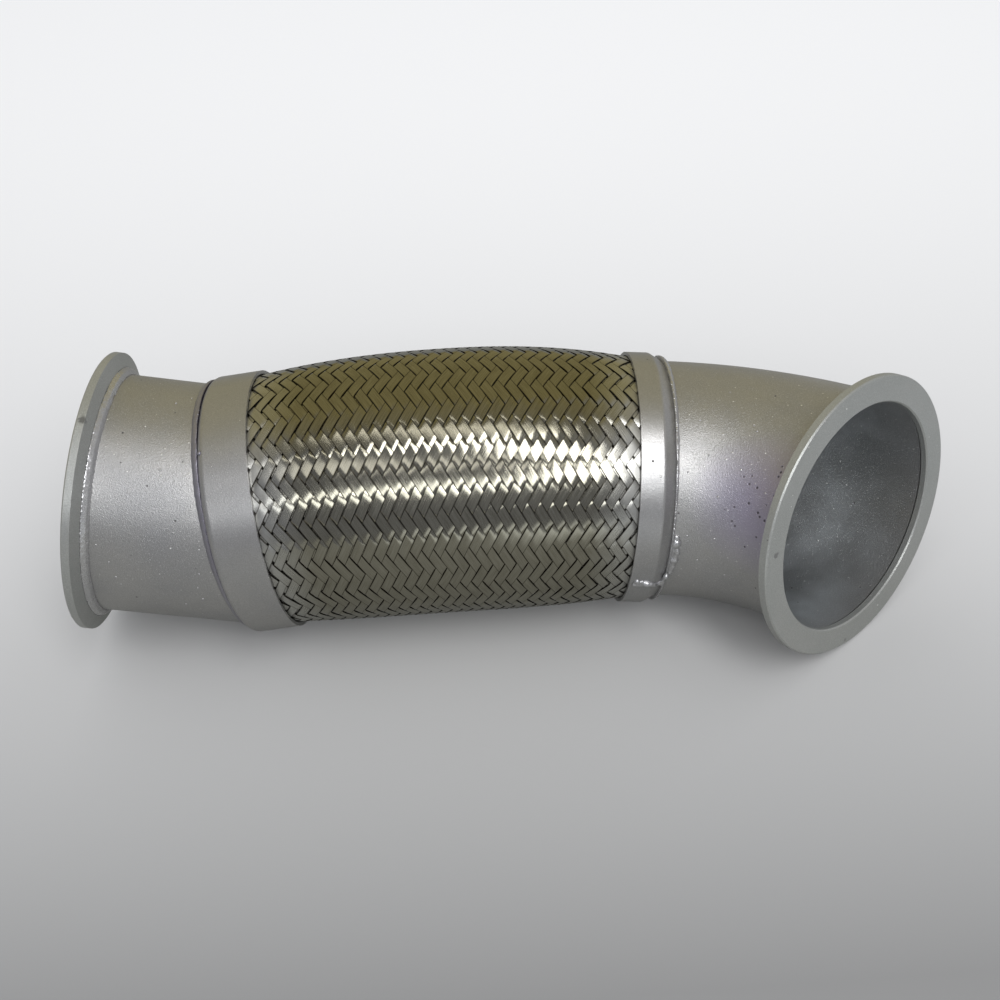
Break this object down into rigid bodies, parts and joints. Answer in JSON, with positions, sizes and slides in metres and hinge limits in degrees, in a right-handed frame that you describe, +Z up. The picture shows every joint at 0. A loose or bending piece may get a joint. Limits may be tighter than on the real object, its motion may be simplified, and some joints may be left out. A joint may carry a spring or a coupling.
{
  "type": "exhaust flex pipe",
  "caption": "Braided flexible exhaust pipe section with a short inlet pipe, an elbow at the outlet and a V-band flange at each end.",
  "frame": {"origin": "under the middle of the whole pipe, at the level of the ground that it lies on", "axes": "+Z up; +X along the chord of the flexible sleeve, from the inlet flange to the elbow; +Y away from the side that the elbow turns to"},
  "size_m": [0.468, 0.1774, 0.1573],
  "materials": {
    "painted_flange": "satin silver heat-resistant paint on steel",
    "painted_pipe": "satin silver heat-resistant paint on steel, finely textured",
    "painted_collar": "satin silver heat-resistant paint on steel",
    "painted_weld": "satin silver paint over a hand-made weld",
    "steel_braid": "bright stainless wire braid",
    "bellows_steel": "formed stainless sheet",
    "liner_steel": "strip-wound stainless strip"
  },
  "bodies": {
    "root": {"inlet_flange": "painted_flange", "outlet_flange": "painted_flange", "inlet_flange_weld": "painted_weld", "outlet_flange_weld": "painted_weld", "inlet_pipe": "painted_pipe", "outlet_elbow": "painted_pipe", "inlet_collar": "painted_collar", "outlet_collar": "painted_collar", "inlet_pipe_weld": "painted_weld", "outlet_pipe_weld": "painted_weld", "outlet_collar_seam": "painted_weld", "braid": "steel_braid", "bellows": "bellows_steel", "inner_liner": "liner_steel"}
  },
  "joints": []
}
